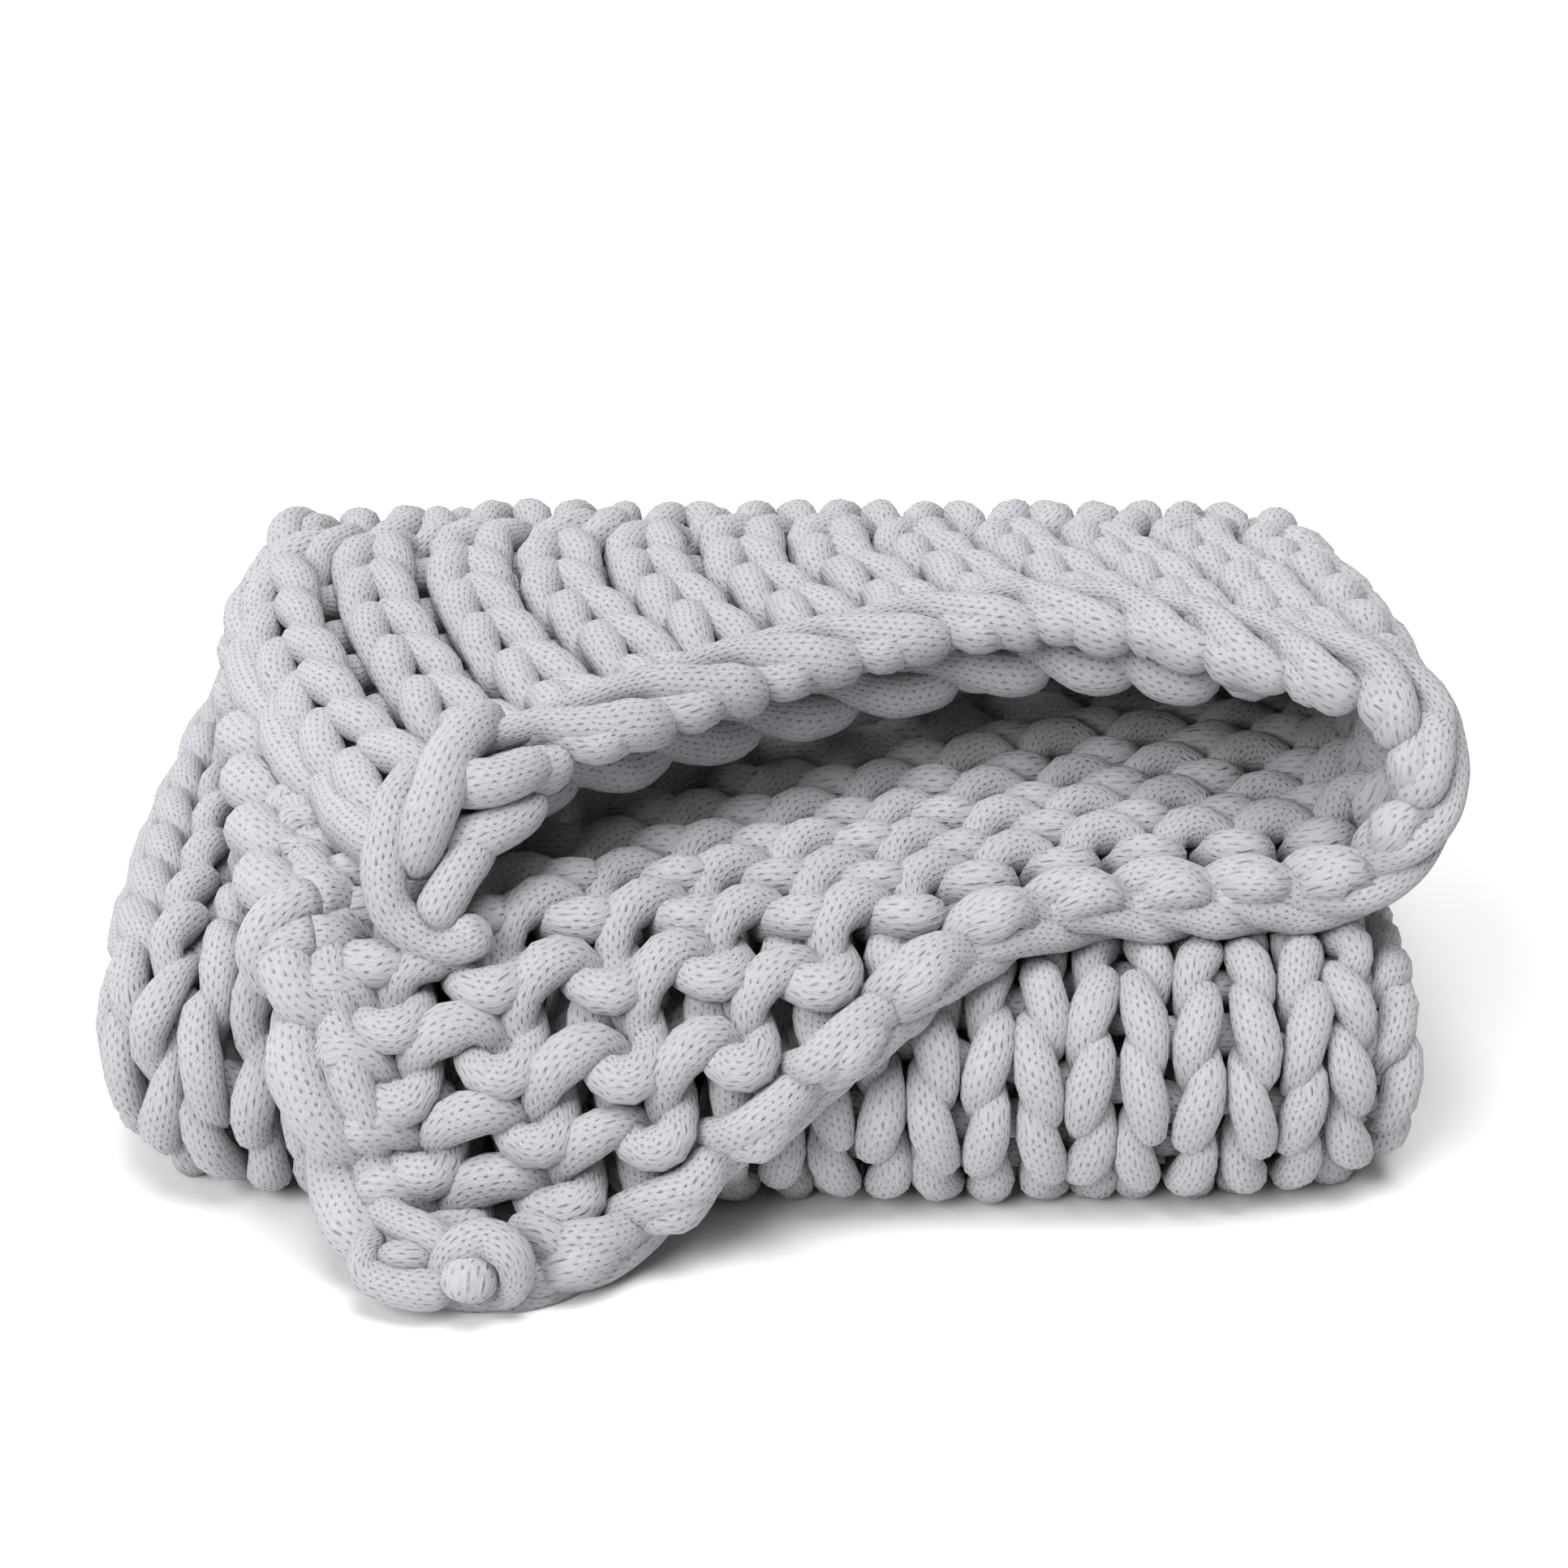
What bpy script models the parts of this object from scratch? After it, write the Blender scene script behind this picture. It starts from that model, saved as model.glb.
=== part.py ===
"""Chunky knit blanket, folded for a shelf or the foot of a bed.

The blanket is one thick cloth. It is doubled along its length, with the turn on the
right and both long edges on the left, and the doubled strip is folded back and forth
in three: bottom run, round the front nose, middle run, round the back, top run. At the
end of the top run the two cloths part. The lower one falls over the front nose to the
surface at the left, and the upper one rises in a low arch, so that the end of the
blanket opens like a mouth.

Metres, +Z up, front towards -Y. The origin is under the middle of the object.
"""
import bpy
from math import cos, pi, sin
from mathutils import Vector

# The cloth and the pile it makes
CLOTH = 0.022          # thickness of the knitted cloth where it lies in the pile
LAYER = 0.027          # from the middle of one cloth to the middle of the next
FRONT_TURN = 0.0525    # from the front face back to the centre of the front nose
BACK_TURN = 0.3875     # the centre of the back fold
BACK_ROUND = 0.047     # radius of that turn, which is looser than the front nose
TURN_X = 0.2295        # where each doubled run starts to turn over at the right

# Middle of the cloth in each run of the pile, counted up from the surface
HEIGHT = [CLOTH / 2 + LAYER * level for level in range(5)]

# How the lower cloth of the top run falls: round the nose, then out over the surface
FALL_ROUND = 0.069     # radius round the centre of the front nose, 4 mm clear of it
FOOT_ROUND = 0.040     # radius of the hollow where it meets the surface

# Corners of the pile, seen from above
FRONT_CORNER = 0.026   # how far the front is set back at each end
BACK_CORNER = 0.014    # the same at the back
CORNER_START = 0.165   # how far from the middle the corners start
CORNER_SPAN = 0.090    # their length across
CORNER_FLAT = 0.070    # how far in from the face the whole fold is set back alike
CORNER_DEPTH = 0.120   # how much further in the set-back fades out
CORNER_CURVE = 1.5     # how sharply the corners set in
SIDE_BULGE = 0.009     # how far the left side swells between front and back

# Long edges and loose ends of the runs: left edge across, loose end at the back
BASE_EDGES = {
    #          bottom   middle   loose end
    "lower": (-0.253, -0.257, 0.424),
    "upper": (-0.247, -0.252, 0.412),
}

# Lower cloth of the top run, on five lines from the left edge to the right turn: place
# across at the back and at the lip, and length past the brow of the pile.
LOWER_LINES = [
    # at back  at lip   overhang
    (-0.250, -0.155, 0.176),
    (-0.130, -0.076, 0.166),
    (-0.008, 0.013, 0.095),
    (0.110, 0.106, 0.017),
    (TURN_X, 0.208, -0.004),
]

# Upper cloth of the top run, on the same five lines: place across at the back and at the
# lip, reach of the lip, and heights of the middle of the cloth at the back, halfway,
# where the lip starts to roll up, and at the lip.
UPPER_LINES = [
    # at back  at lip   reach   back    halfway  roll    lip
    (-0.242, -0.122, 0.045, 0.154, 0.153, 0.158, 0.177),
    (-0.120, -0.065, 0.068, 0.160, 0.164, 0.172, 0.197),
    (0.000, 0.014, 0.122, 0.160, 0.170, 0.178, 0.204),
    (0.115, 0.115, 0.146, 0.160, 0.176, 0.190, 0.212),
    (TURN_X, 0.220, 0.095, 0.160, 0.180, 0.197, 0.206),
]
LAST_LINE = 4          # the line at the right turn; the first is 0
LIP_ROLL = 0.022       # depth of the rolled lip
LOWER_SKEW = 1.5       # how late the lower cloth's lines swing towards the lip
UPPER_SKEW = 2.4       # the same for the upper cloth
ROLL_START = 0.88      # share of the upper cloth's line where its lip starts to roll up
SQUARED = Vector((1, 0.4, 1))  # how the right turn is squared up with the pile
TURN_FULLNESS = 2.0    # roundness of the turn at the right: 2 is close to a half circle

# Facets: divisions of each run along the blanket, and of each span across it
BOTTOM_STEPS = 5
NOSE_STEPS = 10
MIDDLE_STEPS = 6
TOP_STEPS = 6          # on the flat of the top run
LIP_STEPS = 14         # from there to the lip
FLAT_SHARE = 0.55      # share of the top run that counts as flat
SPAN_STEPS = 3
TURN_STEPS = 7

# The rounded rim of the cloth: distance in from the edge, as a share of one division,
# and thickness there
RIM = [(0.0, 0.50), (0.15, 0.80), (0.45, 1.0)]

YARN_GREY = (0.56, 0.55, 0.58, 1.0)


def smooth_step(value):
    """Ease from 0 to 1 over the same range."""
    value = min(max(value, 0.0), 1.0)
    return value * value * (3 - 2 * value)


def hermite(start, end, leave, arrive, share):
    """A point on the soft curve from start to end with the given directions."""
    square = share * share
    cube = square * share
    return (start * (2 * cube - 3 * square + 1) + end * (3 * square - 2 * cube)
            + leave * (cube - 2 * square + share) + arrive * (cube - square))


def set_back(x, depth, distance):
    """How far a corner is set back, this far across and this far in from the face."""
    fade = 1 - smooth_step((distance - CORNER_FLAT) / CORNER_DEPTH)
    return depth * fade * max((abs(x) - CORNER_START) / CORNER_SPAN, 0.0) ** CORNER_CURVE


def turn(x, centre_y, centre_z, radius, angle):
    """A point on a fold; angle 0 is its underside, and pi its upper side."""
    side = -1 if centre_y < BACK_TURN else 1
    return Vector((x, centre_y + side * radius * sin(angle), centre_z - radius * cos(angle)))


def fall(length):
    """Reach and height of the lower cloth this far past the brow of the pile."""
    quarter = FALL_ROUND * pi / 2
    foot = FOOT_ROUND * pi / 2
    brow_z = FRONT_TURN + FALL_ROUND
    front_y = FRONT_TURN - FALL_ROUND
    if length < 0:
        return FRONT_TURN - length, brow_z
    if length < quarter:
        angle = length / FALL_ROUND
        return FRONT_TURN - FALL_ROUND * sin(angle), FRONT_TURN + FALL_ROUND * cos(angle)
    drop = FRONT_TURN - FOOT_ROUND - HEIGHT[0]
    length -= quarter
    if length < drop:
        return front_y, FRONT_TURN - length
    length -= drop
    if length < foot:
        angle = length / FOOT_ROUND
        return (front_y - FOOT_ROUND * (1 - cos(angle)),
                HEIGHT[0] + FOOT_ROUND * (1 - sin(angle)))
    return front_y - FOOT_ROUND - (length - foot), HEIGHT[0]


def between_lines(table, line):
    """The columns of a table of lines at any place between them, softly blended."""
    last = len(table) - 1
    i = min(int(line), last - 1)
    before = max(i - 1, 0)
    after = min(i + 2, last)
    values = []
    for column in zip(*table):
        leave = (column[i + 1] - column[before]) / (i + 1 - before)
        arrive = (column[after] - column[i]) / (after - i)
        values.append(hermite(column[i], column[i + 1], leave, arrive, line - i))
    return values


def base_x(cloth, line, run, y):
    """Place across of a line of the cloth in the bottom run, 0, or the middle run, 1."""
    left = BASE_EDGES[cloth][run] - SIDE_BULGE * sin(pi * y / (BACK_TURN + FRONT_TURN))
    return left + (TURN_X - left) * line / LAST_LINE


def base_point(cloth, line, run, share):
    """A point of the bottom run, nose, middle run or back fold."""
    lower = cloth == "lower"
    bottom_z = HEIGHT[0] if lower else HEIGHT[1]
    middle_z = HEIGHT[3] if lower else HEIGHT[2]
    nose_z = (bottom_z + middle_z) / 2
    if run == "bottom":
        loose_end = BASE_EDGES[cloth][2]
        y = loose_end + (FRONT_TURN - loose_end) * share
        return Vector((base_x(cloth, line, 0, y), y, bottom_z))
    if run == "nose":
        x_below = base_x(cloth, line, 0, FRONT_TURN)
        x_above = base_x(cloth, line, 1, FRONT_TURN)
        x = x_below + (x_above - x_below) * smooth_step(share)
        return turn(x, FRONT_TURN, nose_z, middle_z - nose_z, pi * share)
    if run == "middle":
        y = FRONT_TURN + (BACK_TURN - FRONT_TURN) * share
        return Vector((base_x(cloth, line, 1, y), y, middle_z))
    x_below = base_x(cloth, line, 1, BACK_TURN)
    above = between_lines(LOWER_LINES if lower else UPPER_LINES, line)
    x = x_below + (above[0] - x_below) * smooth_step(share)
    top_z = FRONT_TURN + FALL_ROUND if lower else above[3]
    radius = (top_z - middle_z) / 2
    return turn(x, BACK_TURN, middle_z + radius, radius, pi * share)


def lower_top_point(line, share):
    """A point of the lower cloth of the top run: over the pile, then down its front."""
    x_back, x_lip, overhang = between_lines(LOWER_LINES, line)
    flat = BACK_TURN - FRONT_TURN
    y, z = fall((flat + overhang) * share - flat)
    return Vector((x_back + (x_lip - x_back) * share ** LOWER_SKEW, y, z))


def upper_top_point(line, share):
    """A point of the upper cloth of the top run, which ends in the rolled lip."""
    x_back, x_lip, lip_y, back_z, half_z, roll_z, lip_z = between_lines(UPPER_LINES, line)
    roll_y = lip_y + LIP_ROLL
    knots = [Vector((0, BACK_TURN, back_z)), Vector((0, (BACK_TURN + roll_y) / 2, half_z)),
             Vector((0, roll_y, roll_z)), Vector((0, lip_y, lip_z))]
    ends = [0.0, 0.5, ROLL_START, 1.0]
    heading = [Vector((0, -1, 0)), (knots[2] - knots[0]).normalized(),
               (knots[3] - knots[1]).normalized(), (knots[3] - knots[2]).normalized()]
    span = 0 if share < ends[1] else 1 if share < ends[2] else 2
    within = (share - ends[span]) / (ends[span + 1] - ends[span])
    reach = (knots[span + 1] - knots[span]).length
    point = hermite(knots[span], knots[span + 1], heading[span] * reach,
                    heading[span + 1] * reach, within)
    point.x = x_back + (x_lip - x_back) * share ** UPPER_SKEW
    return point


def line_point(cloth, line, run, share):
    """A point of one of the two doubled cloths: line 0 is its left edge."""
    if run != "top":
        point = base_point(cloth, line, run, share)
        point.y += set_back(point.x, FRONT_CORNER, point.y)
    elif cloth == "lower":
        point = lower_top_point(line, share)
    else:
        point = upper_top_point(line, share)
    point.y -= set_back(point.x, BACK_CORNER, BACK_TURN + BACK_ROUND - point.y)
    return point


def across(run, share):
    """The row of points across the blanket at one place along it."""
    lines = [place / SPAN_STEPS for place, _ in RIM]
    lines += [step / SPAN_STEPS for step in range(1, LAST_LINE * SPAN_STEPS + 1)]
    lower = [line_point("lower", line, run, share) for line in lines]
    upper = [line_point("upper", line, run, share) for line in lines]
    reach = (upper[-1] - lower[-1]).length * TURN_FULLNESS
    leave = (lower[-1] - lower[-2]) * SQUARED
    arrive = (upper[-2] - upper[-1]) * SQUARED
    leave.length = reach
    arrive.length = reach
    side = [hermite(lower[-1], upper[-1], leave, arrive, step / TURN_STEPS)
            for step in range(1, TURN_STEPS)]
    return lower + side + upper[::-1]


def length_places():
    """Run and share of each row of facets, from the loose end to the lip."""
    places = [("bottom", place / BOTTOM_STEPS) for place, _ in RIM]
    places += [("bottom", step / BOTTOM_STEPS) for step in range(1, BOTTOM_STEPS)]
    places += [("nose", step / NOSE_STEPS) for step in range(NOSE_STEPS)]
    places += [("middle", step / MIDDLE_STEPS) for step in range(MIDDLE_STEPS)]
    places += [("back", step / NOSE_STEPS) for step in range(NOSE_STEPS)]
    places += [("top", FLAT_SHARE * step / TOP_STEPS) for step in range(TOP_STEPS)]
    lip = (1 - FLAT_SHARE) / LIP_STEPS
    places += [("top", FLAT_SHARE + lip * step) for step in range(LIP_STEPS)]
    places += [("top", 1 - lip * place) for place, _ in RIM[::-1]]
    return places


def rim_thickness(index, count):
    """Thickness of the cloth at a row or column, as a share of the full one."""
    from_edge = min(index, count - 1 - index)
    return RIM[from_edge][1] if from_edge < len(RIM) else 1.0


def cloth_faces():
    """Corners and faces of the closed skin round the folded cloth."""
    rows = [across(run, share) for run, share in length_places()]
    count_along = len(rows)
    count_across = len(rows[0])
    outside = []
    inside = []
    for j, row in enumerate(rows):
        for i, point in enumerate(row):
            along = rows[min(j + 1, count_along - 1)][i] - rows[max(j - 1, 0)][i]
            side = row[min(i + 1, count_across - 1)] - row[max(i - 1, 0)]
            half = along.cross(side).normalized() * CLOTH / 2
            half *= min(rim_thickness(i, count_across), rim_thickness(j, count_along))
            outside.append(point + half)
            inside.append(point - half)
    total = len(outside)
    faces = []
    for j in range(count_along - 1):
        for i in range(count_across - 1):
            a = j * count_across + i
            b = a + count_across
            faces.append((a, b, b + 1, a + 1))
            faces.append((total + a, total + a + 1, total + b + 1, total + b))
    rim = list(range(count_across))
    rim += [j * count_across + count_across - 1 for j in range(1, count_along)]
    rim += [(count_along - 1) * count_across + i for i in range(count_across - 2, -1, -1)]
    rim += [j * count_across for j in range(count_along - 2, 0, -1)]
    for a, b in zip(rim, rim[1:] + rim[:1]):
        faces.append((a, b, total + b, total + a))
    return outside + inside, faces


def yarn_material():
    """Pale grey yarn, dull as wool."""
    material = bpy.data.materials.new("pale_grey_yarn")
    material.use_nodes = True
    shader = material.node_tree.nodes["Principled BSDF"]
    shader.inputs["Base Color"].default_value = YARN_GREY
    shader.inputs["Roughness"].default_value = 0.9
    shader.inputs["Metallic"].default_value = 0.0
    return material


def centre_and_ground(points):
    """Move the object so that its origin is under the middle of its box."""
    low = Vector([min(point[axis] for point in points) for axis in range(3)])
    high = Vector([max(point[axis] for point in points) for axis in range(3)])
    shift = Vector(((low.x + high.x) / 2, (low.y + high.y) / 2, low.z))
    return [point - shift for point in points]


def build_blanket():
    points, faces = cloth_faces()
    mesh = bpy.data.meshes.new("blanket")
    mesh.from_pydata(centre_and_ground(points), [], faces)
    mesh.update()
    mesh.shade_smooth()
    blanket = bpy.data.objects.new("blanket", mesh)
    blanket.data.materials.append(yarn_material())
    bpy.context.scene.collection.objects.link(blanket)
    return blanket


for old in list(bpy.data.objects):
    bpy.data.objects.remove(old)
build_blanket()
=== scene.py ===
"""Folded chunky knit blanket.

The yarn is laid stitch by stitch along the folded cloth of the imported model: knitted rows
first, then the edge at each end, the side edges, the knots and the yarn ends.
"""
from math import pi

import bpy
import numpy as np
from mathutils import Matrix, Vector


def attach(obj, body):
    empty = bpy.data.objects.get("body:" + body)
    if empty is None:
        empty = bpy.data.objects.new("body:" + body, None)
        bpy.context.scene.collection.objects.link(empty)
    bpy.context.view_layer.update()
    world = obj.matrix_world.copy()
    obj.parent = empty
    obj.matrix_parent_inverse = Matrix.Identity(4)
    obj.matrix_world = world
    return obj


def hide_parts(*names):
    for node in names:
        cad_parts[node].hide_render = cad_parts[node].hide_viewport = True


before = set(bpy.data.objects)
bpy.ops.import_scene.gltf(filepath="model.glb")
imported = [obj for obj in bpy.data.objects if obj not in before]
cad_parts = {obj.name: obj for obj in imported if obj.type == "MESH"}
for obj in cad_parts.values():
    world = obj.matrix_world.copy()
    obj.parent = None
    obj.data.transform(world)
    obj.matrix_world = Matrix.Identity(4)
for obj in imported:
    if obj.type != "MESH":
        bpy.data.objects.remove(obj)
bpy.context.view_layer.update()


# ---------------------------------------------------------------------------------------
# Knitted rows
# Plain stocking stitch in stuffed tube yarn 17 mm thick, knitted by hand on thick needles.
# The rows follow the cloth as it lies: doubled, folded in three, and parted at its end.
# ---------------------------------------------------------------------------------------

COLUMNS = 24           # stitches across the blanket
ROWS = 38              # rows along it
SIDE_ROOM = 0.012      # width that the turns at each side edge take up
END_ROOM = 0.012       # length that the edge at each end takes up

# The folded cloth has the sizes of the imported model
CLOTH = 0.022          # its thickness
LAYER = 0.027          # height from one layer of the pile to the next
FRONT_TURN = 0.0525    # where the front nose starts to turn, back from its face
BACK_TURN = 0.3875     # where the back fold starts to turn
BACK_ROUND = 0.047     # how far the back fold reaches past that
TURN_X = 0.2295        # where the two doubled cloths start to turn into each other
FALL_ROUND = 0.069     # radius in which the lower cloth goes over the brow of the pile
FOOT_ROUND = 0.040     # radius in which it runs out on the floor
FRONT_CORNER = 0.026   # how far the corners of the front are set back
BACK_CORNER = 0.014    # how far the corners of the back are set in
CORNER_START = 0.165   # where a corner starts, from the middle
CORNER_SPAN = 0.090    # its width
CORNER_FLAT = 0.070    # how far in from the face a corner keeps its full depth
CORNER_DEPTH = 0.120   # length in which it fades from there
CORNER_CURVE = 1.5     # how slowly it starts
SIDE_BULGE = 0.009     # how far the left side swells between front and back
HEIGHT = [CLOTH / 2 + LAYER * level for level in range(4)]
PILE_FRONT = np.array([-0.0024, -0.1932, 0.0])    # middle of the front nose's face

# Left edge of each cloth in the bottom and middle runs, and how deep its cast-on end lies
BASE_EDGES = {
    #          bottom   middle   loose end
    "lower": (-0.256, -0.260, 0.424),
    "upper": (-0.212, -0.216, 0.412),
}
CURL = 0.026           # radius in which the left edges curl in
CURL_ANGLE = 1.75      # how far round they curl, in radians
# The top run of each cloth along five lines, from the left edge to the right turn: where a
# line lies from left to right at the back and at the lip, then how far the lower cloth
# hangs over, or how deep the upper lip lies and how high the cloth is on the way there
LOWER_LINES = np.array([
    # at back  at lip   overhang
    (-0.250, -0.155, 0.176),
    (-0.130, -0.076, 0.166),
    (-0.008, 0.013, 0.095),
    (0.110, 0.106, 0.017),
    (TURN_X, 0.208, -0.004),
])
UPPER_LINES = np.array([
    # at back  at lip  depth  back   halfway roll   lip
    (-0.242, -0.122, 0.045, 0.154, 0.153, 0.158, 0.177),
    (-0.120, -0.065, 0.068, 0.160, 0.164, 0.172, 0.197),
    (0.000, 0.014, 0.122, 0.160, 0.170, 0.178, 0.204),
    (0.115, 0.115, 0.146, 0.160, 0.176, 0.190, 0.212),
    (TURN_X, 0.220, 0.095, 0.160, 0.180, 0.197, 0.206),
])
# Rows that lie past the back fold, from the left edge round the right turn and back
TOP_ROWS = np.array([[18.5], [11.5], [7.5], [6.0], [8.0]])
LAST_LINE = 4          # the lines are numbered from 0
LIP_ROLL = 0.022       # length of the upper lip that rolls over
ROLL_START = 0.88      # share of the upper cloth's run where that starts
LOWER_SKEW = 1.5       # how late the columns of each cloth swing to their places at the lip
UPPER_SKEW = 2.4
TURN_FULLNESS = 2.0    # how full the right turn is
SQUARED = np.array([1, 0.4, 1])    # makes it go out more squarely to the side


def smooth_step(value):
    value = np.clip(value, 0, 1)
    return value * value * (3 - 2 * value)


def hermite(start, end, leave, arrive, share):
    """Points on the soft curve from start to end with the given directions."""
    square = share * share
    cube = square * share
    return (start * (2 * cube - 3 * square + 1) + end * (3 * square - 2 * cube)
            + leave * (cube - 2 * square + share) + arrive * (cube - square))


def between_lines(table, lines):
    """The columns of a table at any places between its lines, softly blended."""
    last = len(table) - 1
    i = np.minimum(lines.astype(int), last - 1)
    before = np.maximum(i - 1, 0)
    after = np.minimum(i + 2, last)
    leave = (table[i + 1] - table[before]) / (i + 1 - before)[:, None]
    arrive = (table[after] - table[i]) / (after - i)[:, None]
    return hermite(table[i], table[i + 1], leave, arrive, (lines - i)[:, None])


def set_back(x, depth, distance):
    """How far a fold's corner is set back, at this distance in from the fold's face."""
    fade = 1 - smooth_step((distance - CORNER_FLAT) / CORNER_DEPTH)
    across = np.maximum((abs(x) - CORNER_START) / CORNER_SPAN, 0)
    return depth * fade * across ** CORNER_CURVE


def fall(length):
    """Reach and height of the lower cloth this far past the brow of the pile."""
    quarter = FALL_ROUND * pi / 2
    foot = FOOT_ROUND * pi / 2
    drop = FRONT_TURN - FOOT_ROUND - HEIGHT[0]
    brow = np.clip(length / FALL_ROUND, 0, pi / 2)
    hollow = np.clip((length - quarter - drop) / FOOT_ROUND, 0, pi / 2)
    y = (FRONT_TURN - np.minimum(length, 0) - FALL_ROUND * np.sin(brow)
         - FOOT_ROUND * (1 - np.cos(hollow)) - np.maximum(length - quarter - drop - foot, 0))
    z = (FRONT_TURN + FALL_ROUND * np.cos(brow) - np.clip(length - quarter, 0, drop)
         - FOOT_ROUND * np.sin(hollow))
    return y, z


def base_x(cloth, lines, run, y):
    """Where the lines of the bottom or middle run lie, from left to right."""
    left = BASE_EDGES[cloth][run] - SIDE_BULGE * np.sin(pi * y / (BACK_TURN + FRONT_TURN))
    return left + (TURN_X - left) * lines / LAST_LINE


def cloth_points(cloth, lines, run, share):
    """Middle of one of the two doubled cloths, at this share of this run."""
    lower = cloth == "lower"
    above = between_lines(LOWER_LINES if lower else UPPER_LINES, lines)
    bottom_z, middle_z = (HEIGHT[0], HEIGHT[3]) if lower else (HEIGHT[1], HEIGHT[2])
    x_back, x_lip = above[:, 0], above[:, 1]
    if run == "top" and lower:
        flat = BACK_TURN - FRONT_TURN
        y, z = fall((flat + above[:, 2]) * share - flat)
        x = x_back + (x_lip - x_back) * share ** LOWER_SKEW
    elif run == "top":
        lip_y, back_z, half_z, roll_z, lip_z = above[:, 2:].T
        roll_y = lip_y + LIP_ROLL
        flat_y = np.full_like(lip_y, BACK_TURN)
        knots = [np.column_stack(pair) for pair in (
            (flat_y, back_z), ((BACK_TURN + roll_y) / 2, half_z), (roll_y, roll_z),
            (lip_y, lip_z))]
        steps = [knots[2] - knots[0], knots[3] - knots[1], knots[3] - knots[2]]
        heading = [np.tile((-1.0, 0.0), (len(lines), 1))]
        heading += [step / np.linalg.norm(step, axis=1, keepdims=True) for step in steps]
        ends = (0.0, 0.5, ROLL_START, 1.0)
        span = 0 if share < ends[1] else 1 if share < ends[2] else 2
        within = (share - ends[span]) / (ends[span + 1] - ends[span])
        reach = np.linalg.norm(knots[span + 1] - knots[span], axis=1, keepdims=True)
        y, z = hermite(knots[span], knots[span + 1], heading[span] * reach,
                       heading[span + 1] * reach, within).T
        x = x_back + (x_lip - x_back) * share ** UPPER_SKEW
    elif run == "bottom":
        loose_end = BASE_EDGES[cloth][2]
        y = np.full_like(lines, loose_end + (FRONT_TURN - loose_end) * share)
        x, z = base_x(cloth, lines, 0, y), np.full_like(lines, bottom_z)
    elif run == "middle":
        y = np.full_like(lines, FRONT_TURN + (BACK_TURN - FRONT_TURN) * share)
        x, z = base_x(cloth, lines, 1, y), np.full_like(lines, middle_z)
    else:
        front = run == "nose"
        if front:
            below, over = (base_x(cloth, lines, level, FRONT_TURN) for level in (0, 1))
            low_z, high_z, centre_y = bottom_z, middle_z, FRONT_TURN
        else:
            below, over = base_x(cloth, lines, 1, BACK_TURN), x_back
            low_z, centre_y = middle_z, BACK_TURN
            high_z = FRONT_TURN + FALL_ROUND if lower else above[:, 3]
        radius = (high_z - low_z) / 2
        x = below + (over - below) * smooth_step(share)
        y = centre_y + (-1 if front else 1) * radius * np.sin(pi * share) + 0 * lines
        z = low_z + radius - radius * np.cos(pi * share) + 0 * lines
    if run != "top":
        y = y + set_back(x, FRONT_CORNER, y)
    y = y - set_back(x, BACK_CORNER, BACK_TURN + BACK_ROUND - y)
    points = np.column_stack((x, y, z)) + PILE_FRONT
    if lower == (run != "top"):
        return curled(points, run, share)
    return points


def curled(points, run, share):
    """The blanket's left edges curled in, as plain stocking stitch does."""
    inward = {"bottom": (0, 0, 1), "nose": (0, np.sin(pi * share), np.cos(pi * share)),
              "middle": (0, 0, -1), "back": (0, 0, -1), "top": (0, 0, -1)}[run]
    x = points[:, 0] - points[0, 0]
    angle = CURL_ANGLE * np.maximum(1 - x / CURL, 0)
    bent = points + np.outer(CURL * (1 - np.cos(angle)), inward)
    bent[:, 0] = points[0, 0] + np.where(x < CURL, CURL * (1 - np.sin(angle)), x)
    amount = {"back": 1 - smooth_step(share), "top": smooth_step(share / 0.1)}.get(run, 1)
    return points + (bent - points) * amount


def across(run, share):
    """Points across the whole blanket: lower cloth, right turn, then upper cloth."""
    per_line = 24
    in_turn = 24
    lines = np.linspace(0, LAST_LINE, LAST_LINE * per_line + 1)
    lower = cloth_points("lower", lines, run, share)
    upper = cloth_points("upper", lines, run, share)
    reach = np.linalg.norm(upper[-1] - lower[-1]) * TURN_FULLNESS
    leave = (lower[-1] - lower[-1 - per_line // 3]) * SQUARED
    arrive = (upper[-1 - per_line // 3] - upper[-1]) * SQUARED
    leave *= reach / np.linalg.norm(leave)
    arrive *= reach / np.linalg.norm(arrive)
    share = np.linspace(0, 1, in_turn + 2)[1:-1, None]
    return np.vstack((lower, hermite(lower[-1], upper[-1], leave, arrive, share), upper[::-1]))


def lengths_along(points):
    """How far each point is from the first, measured along them."""
    steps = np.linalg.norm(np.diff(points, axis=0), axis=1)
    return np.concatenate(([0.0], np.cumsum(steps)))


def at_lengths(points, lengths):
    """Points at these distances along a row of points."""
    along = lengths_along(points)
    return np.column_stack([np.interp(lengths, along, axis) for axis in points.T])


def row_lengths(row_numbers, top_rows, fold_length, whole_length):
    """Distance of each row from the cast-on end: the rows part evenly round the fold."""
    total = 0
    height_before = fold_length / (ROWS - top_rows)
    height_past = (whole_length - fold_length) / top_rows
    shifts = np.linspace(-3, 3, 13)
    weights = 1 - abs(shifts) / 4
    for shift, weight in zip(shifts, weights / weights.sum()):
        rows = row_numbers + shift
        total = total + weight * (np.minimum(rows - ROWS + top_rows, 0) * height_before
                                  + np.maximum(rows - ROWS + top_rows, 0) * height_past)
    return fold_length + total


FINE = 6               # points to a stitch on the fine net that the yarn follows
MARGIN = 1             # stitches that the net runs on past each edge
SPREAD = 0.032         # how far the columns spread towards the two free corners

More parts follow.
